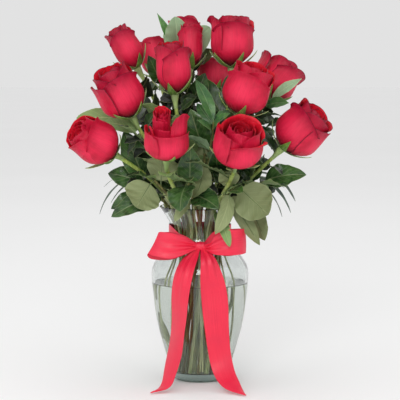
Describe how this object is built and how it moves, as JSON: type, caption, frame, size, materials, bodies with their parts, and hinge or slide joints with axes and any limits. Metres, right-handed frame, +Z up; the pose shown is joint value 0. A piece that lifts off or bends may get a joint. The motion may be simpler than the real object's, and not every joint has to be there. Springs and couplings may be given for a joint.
{
  "type": "roses in a vase",
  "caption": "Red roses with broad and narrow leafy stems in a clear glass vase of water, with a red satin ribbon tied in a bow round its neck",
  "frame": {"origin": "centre of the vase's flat base", "axes": "+Z up along the vase's axis, -Y toward the viewer on the side of the bow, +X to the viewer's right"},
  "size_m": [0.3436, 0.2817, 0.494],
  "materials": {
    "vase_glass": "clear pressed glass with a faint grey-green tint",
    "clear_water": "clear water",
    "red_satin": "single-face satin ribbon, bright rose red",
    "red_petals": "velvety rose petals, deep red",
    "rose_green": "fresh green rose stems, sepals and toothed leaves",
    "salal_green": "leathery dark green leaves with pale olive undersides",
    "ruscus_green": "smooth mid green pointed leaves",
    "narrow_leaf_green": "grey-green strap leaves"
  },
  "bodies": {
    "root": {"bloom_back_centre": "red_petals", "bloom_back_left": "red_petals", "bloom_back_right": "red_petals", "bloom_far_left": "red_petals", "bloom_far_right": "red_petals", "bloom_front_left": "red_petals", "bloom_front_right": "red_petals", "bloom_left": "red_petals", "bloom_right_front": "red_petals", "bloom_top_back": "red_petals", "bloom_top_bud": "red_petals", "bloom_top_left": "red_petals", "bloom_top_right": "red_petals", "bloom_upper_left": "red_petals", "narrow_left": "narrow_leaf_green", "narrow_right": "narrow_leaf_green", "ribbon": "red_satin", "ruscus_front": "ruscus_green", "ruscus_right": "ruscus_green", "ruscus_top": "ruscus_green", "salal_back_left": "salal_green", "salal_back_right": "salal_green", "salal_centre": "salal_green", "salal_front": "salal_green", "salal_front_left": "salal_green", "salal_front_right": "salal_green", "salal_left": "salal_green", "salal_right": "salal_green", "stem_back_centre": "rose_green", "stem_back_left": "rose_green", "stem_back_right": "rose_green", "stem_far_left": "rose_green", "stem_far_right": "rose_green", "stem_front_left": "rose_green", "stem_front_right": "rose_green", "stem_left": "rose_green", "stem_right_front": "rose_green", "stem_top_back": "rose_green", "stem_top_bud": "rose_green", "stem_top_left": "rose_green", "stem_top_right": "rose_green", "stem_upper_left": "rose_green", "vase": "vase_glass", "water": "clear_water"}
  },
  "joints": []
}
